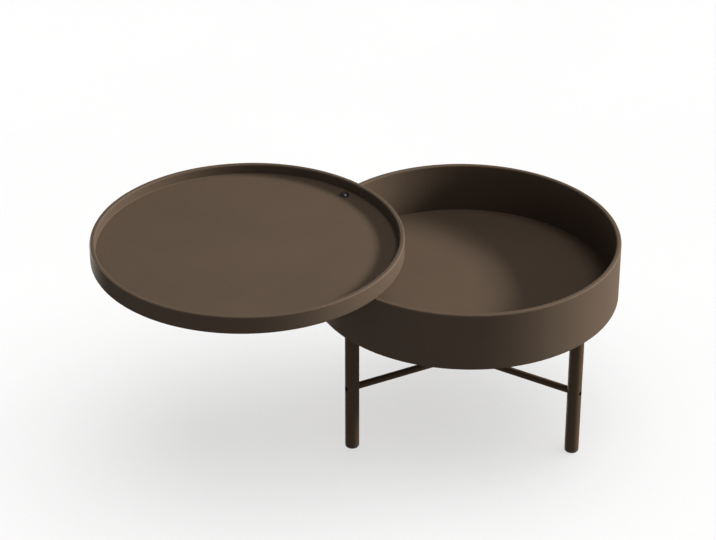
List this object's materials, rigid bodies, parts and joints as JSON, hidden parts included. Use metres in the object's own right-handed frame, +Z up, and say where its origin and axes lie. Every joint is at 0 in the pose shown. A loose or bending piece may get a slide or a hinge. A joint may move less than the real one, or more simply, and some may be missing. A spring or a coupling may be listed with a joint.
{
  "type": "swivel coffee table",
  "caption": "Round coffee table: a shallow tray top turns on an off-centre pivot to open a storage drum carried on straight legs with a star brace.",
  "frame": {"origin": "on the floor, midway between the drum's axis and the axis of the opened tray, which is the centre of the table's footprint box at rest", "axes": "+Z up, +X along the table's long side towards the drum, +Y towards the back, away from the viewer"},
  "size_m": [1.0214, 0.6592, 0.45],
  "materials": {
    "lacquered_board": "matte",
    "powder_coated_steel": "matte",
    "zinc_steel": "satin",
    "black_oxide_steel": "satin",
    "bronze": "satin",
    "black_plastic": "matte",
    "gloss_plastic": "gloss",
    "felt": "matte"
  },
  "bodies": {
    "base": {"drum_wall": "lacquered_board", "drum_floor": "lacquered_board", "pivot_post": "powder_coated_steel", "post_flange": "powder_coated_steel", "post_head": "powder_coated_steel", "brace_hub": "powder_coated_steel", "leg_rear": "powder_coated_steel", "leg_left": "powder_coated_steel", "leg_right": "powder_coated_steel", "brace_arm_rear": "powder_coated_steel", "brace_arm_left": "powder_coated_steel", "brace_arm_right": "powder_coated_steel", "lower_race": "zinc_steel", "post_screws": "zinc_steel", "stop_pin": "zinc_steel", "leg_plate_screws": "zinc_steel", "leg_studs": "zinc_steel", "leg_plate_rear": "zinc_steel", "leg_plate_left": "zinc_steel", "leg_plate_right": "zinc_steel", "leg_insert_rear": "zinc_steel", "leg_insert_left": "zinc_steel", "leg_insert_right": "zinc_steel", "brace_bolts": "black_oxide_steel", "upper_bush": "bronze", "lower_bush": "bronze", "post_plug": "black_plastic", "foot_glide_rear": "black_plastic", "foot_glide_left": "black_plastic", "foot_glide_right": "black_plastic"},
    "tray": {"tray_rim": "lacquered_board", "tray_floor": "lacquered_board", "tray_glides": "felt", "hub_plate": "zinc_steel", "hub_plate_screws": "zinc_steel", "spindle": "zinc_steel", "clamp_screw": "zinc_steel", "pivot_cap": "gloss_plastic", "upper_race": "zinc_steel", "retaining_bolt": "zinc_steel", "retaining_washer": "zinc_steel"},
    "bearing_cage": {"ball_cage": "black_plastic", "bearing_balls": "zinc_steel"}
  },
  "joints": [
    {"name": "tray_swivel", "type": "hinge", "parent": "base", "child": "tray", "pos_m": [-0.02313, 0.16461, 0.42], "axis": [0, 0, 1], "range_deg": [-16, 104]},
    {"name": "cage_roll", "type": "hinge", "parent": "base", "child": "bearing_cage", "pos_m": [-0.02313, 0.16461, 0.407], "axis": [0, 0, 1], "range_deg": [-9, 53]}
  ],
  "couplings": [
    {"joint": "cage_roll", "follows": "tray_swivel", "ratio": 0.5}
  ]
}
